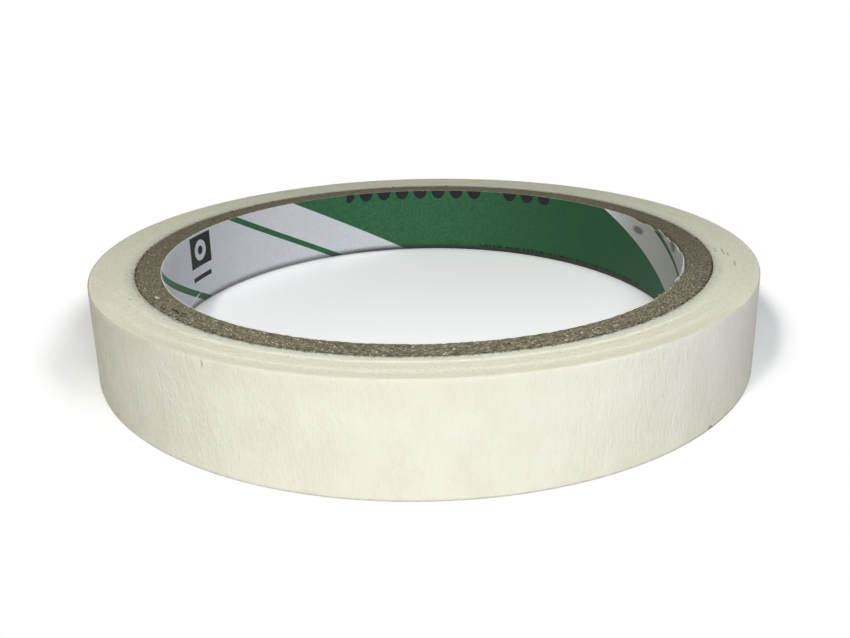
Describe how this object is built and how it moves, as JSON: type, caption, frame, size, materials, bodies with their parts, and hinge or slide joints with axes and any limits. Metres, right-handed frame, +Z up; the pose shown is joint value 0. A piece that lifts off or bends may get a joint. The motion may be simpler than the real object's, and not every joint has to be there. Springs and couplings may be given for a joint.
{
  "type": "masking tape roll",
  "caption": "Narrow roll of cream crepe masking tape wound on a greyboard core with a green striped white paper liner; the free end peels off.",
  "frame": {"origin": "centre of the roll's base, on the core's axis, in the plane that the tape's lower edge rests on", "axes": "+Z up along the core's axis; the tape's free end is on the +Y side and peels clockwise seen from above"},
  "size_m": [0.0948, 0.0949, 0.013],
  "materials": {
    "liner_paper": "smooth white paper with slanted green stripes",
    "core_board": "rough cut greyboard",
    "crepe_tape": "cream crepe paper, satin"
  },
  "bodies": {
    "roll": {"printed_liner": "liner_paper", "board_ply_1": "core_board", "board_ply_2": "core_board", "board_ply_3": "core_board", "board_ply_4": "core_board", "board_ply_5": "core_board", "board_ply_6": "core_board", "wound_tape": "crepe_tape"},
    "end_link_1": {"tape_end_1": "crepe_tape"},
    "end_link_2": {"tape_end_2": "crepe_tape"},
    "end_link_3": {"tape_end_3": "crepe_tape"},
    "end_link_4": {"tape_end_4": "crepe_tape"},
    "end_link_5": {"tape_end_5": "crepe_tape"},
    "end_link_6": {"tape_end_6": "crepe_tape"}
  },
  "joints": [
    {"name": "peel_1", "type": "hinge", "parent": "roll", "child": "end_link_1", "pos_m": [0.01467, 0.04515, 0.0065], "axis": [0, 0, -1], "range_deg": [0, 20]},
    {"name": "peel_2", "type": "hinge", "parent": "end_link_1", "child": "end_link_2", "pos_m": [0.00886, 0.04664, 0.0065], "axis": [0, 0, -1], "range_deg": [0, 20]},
    {"name": "peel_3", "type": "hinge", "parent": "end_link_2", "child": "end_link_3", "pos_m": [0.00291, 0.04738, 0.0065], "axis": [0, 0, -1], "range_deg": [0, 20]},
    {"name": "peel_4", "type": "hinge", "parent": "end_link_3", "child": "end_link_4", "pos_m": [-0.00308, 0.04737, 0.0065], "axis": [0, 0, -1], "range_deg": [0, 20]},
    {"name": "peel_5", "type": "hinge", "parent": "end_link_4", "child": "end_link_5", "pos_m": [-0.00903, 0.0466, 0.0065], "axis": [0, 0, -1], "range_deg": [0, 20]},
    {"name": "peel_6", "type": "hinge", "parent": "end_link_5", "child": "end_link_6", "pos_m": [-0.01483, 0.04509, 0.0065], "axis": [0, 0, -1], "range_deg": [0, 20]}
  ],
  "couplings": [
    {"joint": "peel_2", "follows": "peel_1", "ratio": 1},
    {"joint": "peel_3", "follows": "peel_1", "ratio": 1},
    {"joint": "peel_4", "follows": "peel_1", "ratio": 1},
    {"joint": "peel_5", "follows": "peel_1", "ratio": 1},
    {"joint": "peel_6", "follows": "peel_1", "ratio": 1}
  ]
}
